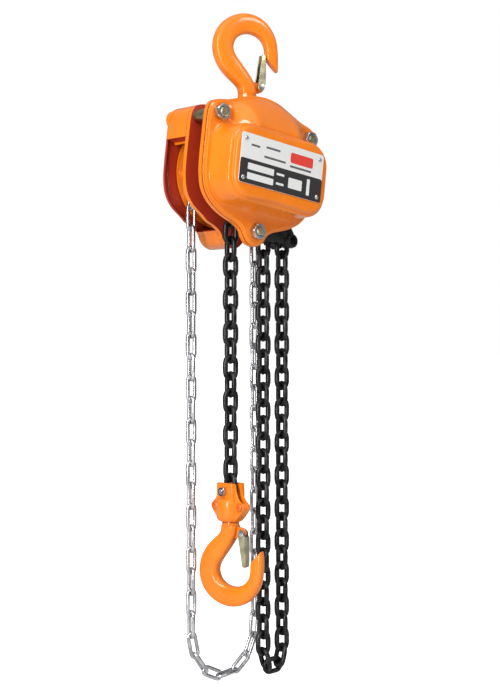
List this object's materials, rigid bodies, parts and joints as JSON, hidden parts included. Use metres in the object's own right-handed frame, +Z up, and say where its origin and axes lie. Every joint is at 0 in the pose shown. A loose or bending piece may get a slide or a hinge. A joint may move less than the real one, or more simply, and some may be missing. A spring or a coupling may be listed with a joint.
{
  "type": "hand chain hoist",
  "caption": "Hand chain hoist: geared orange body on a swivel hook, load chain with bottom hook, slack loop on an anchor, and an endless hand chain over a wheel.",
  "frame": {"origin": "the seat inside the top hook, where the hook bears on its support", "axes": "+Z up along the load line, -Y towards the gear cover, +X towards the slack side of the load chain"},
  "size_m": [0.1646, 0.1164, 0.7284],
  "materials": {
    "orange_paint": "gloss enamel",
    "zinc": "bright zinc plate",
    "yellow_zinc": "yellow passivated zinc plate",
    "black_steel": "black oxide",
    "bare_steel": "machined",
    "friction_lining": "moulded lining",
    "label": "printed aluminium"
  },
  "bodies": {
    "top_hook_body": {"top_hook": "orange_paint", "top_hook_nut": "bare_steel", "top_latch_pin": "zinc"},
    "top_latch_body": {"top_latch": "yellow_zinc", "top_latch_spring": "bare_steel"},
    "suspension": {"suspension_block": "orange_paint"},
    "hoist_body": {"side_plate_gear_side": "orange_paint", "side_plate_wheel_side": "orange_paint", "gear_cover": "orange_paint", "nameplate": "label", "wheel_cover": "orange_paint", "stay_bolt_left": "yellow_zinc", "stay_bolt_right": "yellow_zinc", "stay_bolt_bottom": "yellow_zinc", "stay_nut_front_left": "zinc", "stay_nut_front_right": "zinc", "stay_nut_front_bottom": "zinc", "stay_nut_back_left": "zinc", "stay_nut_back_right": "zinc", "stay_nut_back_bottom": "zinc", "chain_stripper": "black_steel", "chain_anchor": "black_steel", "anchor_pin": "bare_steel", "roller_pin_left": "bare_steel", "roller_pin_right": "bare_steel", "sheave_bearing_gear_side": "bare_steel", "sheave_bearing_wheel_side": "bare_steel", "load_chain_over_sheave": "black_steel", "load_chain_slack_loop": "black_steel", "hand_chain_over_wheel": "zinc", "hand_chain_loop": "zinc", "pawl_spring_upper": "bare_steel", "pawl_spring_lower": "bare_steel"},
    "roller_left": {"guide_roller_left": "bare_steel"},
    "roller_right": {"guide_roller_right": "bare_steel"},
    "sheave": {"load_sheave": "bare_steel", "load_gear": "bare_steel"},
    "drive": {"drive_shaft": "bare_steel", "friction_hub": "bare_steel", "friction_disc_inner": "friction_lining", "friction_disc_outer": "friction_lining", "ratchet_wheel": "bare_steel", "hand_wheel": "orange_paint", "hand_wheel_nut": "zinc"},
    "gear_left": {"disc_gear_left": "bare_steel"},
    "gear_right": {"disc_gear_right": "bare_steel"},
    "pawl_upper_body": {"pawl_upper": "bare_steel"},
    "pawl_lower_body": {"pawl_lower": "bare_steel"},
    "lifting_chain": {"load_chain_hook_side": "black_steel"},
    "yoke": {"yoke_left": "orange_paint", "yoke_right": "orange_paint", "yoke_bolt_front": "zinc", "yoke_bolt_back": "zinc", "chain_pin": "zinc"},
    "bottom_hook_body": {"bottom_hook": "orange_paint", "bottom_hook_nut": "bare_steel", "bottom_latch_pin": "zinc"},
    "bottom_latch_body": {"bottom_latch": "yellow_zinc", "bottom_latch_spring": "bare_steel"}
  },
  "joints": [
    {"name": "top_swivel", "type": "hinge", "parent": "top_hook_body", "child": "suspension", "pos_m": [0, 0, -0.0657], "axis": [0, 0, 1], "continuous": true},
    {"name": "body_tilt", "type": "hinge", "parent": "suspension", "child": "hoist_body", "pos_m": [0, 0, -0.0865], "axis": [0, 1, 0], "range_deg": [-8, 8]},
    {"name": "top_latch_pivot", "type": "hinge", "parent": "top_hook_body", "child": "top_latch_body", "pos_m": [0.01465, -0.00476, -0.0567], "axis": [-0.309, -0.9511, 0], "range_deg": [0, 35], "stiffness_Nm_per_rad": 0.02, "springref_deg": -34.38},
    {"name": "hand_wheel_turn", "type": "hinge", "parent": "hoist_body", "child": "drive", "pos_m": [0, 0, -0.149], "axis": [0, 1, 0], "range_deg": [0, 1260]},
    {"name": "load_sheave_turn", "type": "hinge", "parent": "hoist_body", "child": "sheave", "pos_m": [0, 0, -0.149], "axis": [0, 1, 0], "range_deg": [0, 90]},
    {"name": "disc_gear_left_turn", "type": "hinge", "parent": "hoist_body", "child": "gear_left", "pos_m": [-0.03176, 0, -0.1451], "axis": [0, 1, 0], "range_deg": [-315, 0]},
    {"name": "disc_gear_right_turn", "type": "hinge", "parent": "hoist_body", "child": "gear_right", "pos_m": [0.03176, 0, -0.1529], "axis": [0, 1, 0], "range_deg": [-315, 0]},
    {"name": "hook_lift", "type": "slide", "parent": "hoist_body", "child": "lifting_chain", "axis": [0, 0, 1], "range_m": [0, 0.036]},
    {"name": "guide_roller_left_turn", "type": "hinge", "parent": "hoist_body", "child": "roller_left", "pos_m": [-0.04526, 0, -0.15654], "axis": [0, 1, 0], "continuous": true},
    {"name": "guide_roller_right_turn", "type": "hinge", "parent": "hoist_body", "child": "roller_right", "pos_m": [0.04209, 0, -0.16726], "axis": [0, 1, 0], "continuous": true},
    {"name": "pawl_upper_pivot", "type": "hinge", "parent": "hoist_body", "child": "pawl_upper_body", "pos_m": [-0.0367, 0, -0.12132], "axis": [0, -1, 0], "range_deg": [0, 12], "stiffness_Nm_per_rad": 0.005, "springref_deg": -34.38},
    {"name": "pawl_lower_pivot", "type": "hinge", "parent": "hoist_body", "child": "pawl_lower_body", "pos_m": [0.0367, 0, -0.17668], "axis": [0, -1, 0], "range_deg": [0, 12], "stiffness_Nm_per_rad": 0.005, "springref_deg": -34.38},
    {"name": "yoke_swing", "type": "hinge", "parent": "lifting_chain", "child": "yoke", "pos_m": [-0.02375, 0, -0.49], "axis": [1, 0, 0], "range_deg": [-22, 3]},
    {"name": "bottom_swivel", "type": "hinge", "parent": "yoke", "child": "bottom_hook_body", "pos_m": [-0.02375, 0, -0.522], "axis": [0, 0, 1], "continuous": true},
    {"name": "bottom_latch_pivot", "type": "hinge", "parent": "bottom_hook_body", "child": "bottom_latch_body", "pos_m": [-0.01848, -0.01447, -0.5345], "axis": [0.9397, 0.342, 0], "range_deg": [0, 35], "stiffness_Nm_per_rad": 0.02, "springref_deg": -34.38}
  ],
  "couplings": [
    {"joint": "load_sheave_turn", "follows": "hand_wheel_turn", "ratio": 0.071429},
    {"joint": "disc_gear_left_turn", "follows": "hand_wheel_turn", "ratio": -0.25},
    {"joint": "disc_gear_right_turn", "follows": "hand_wheel_turn", "ratio": -0.25},
    {"joint": "hook_lift", "follows": "hand_wheel_turn", "m_per_rad": 0.001637}
  ]
}
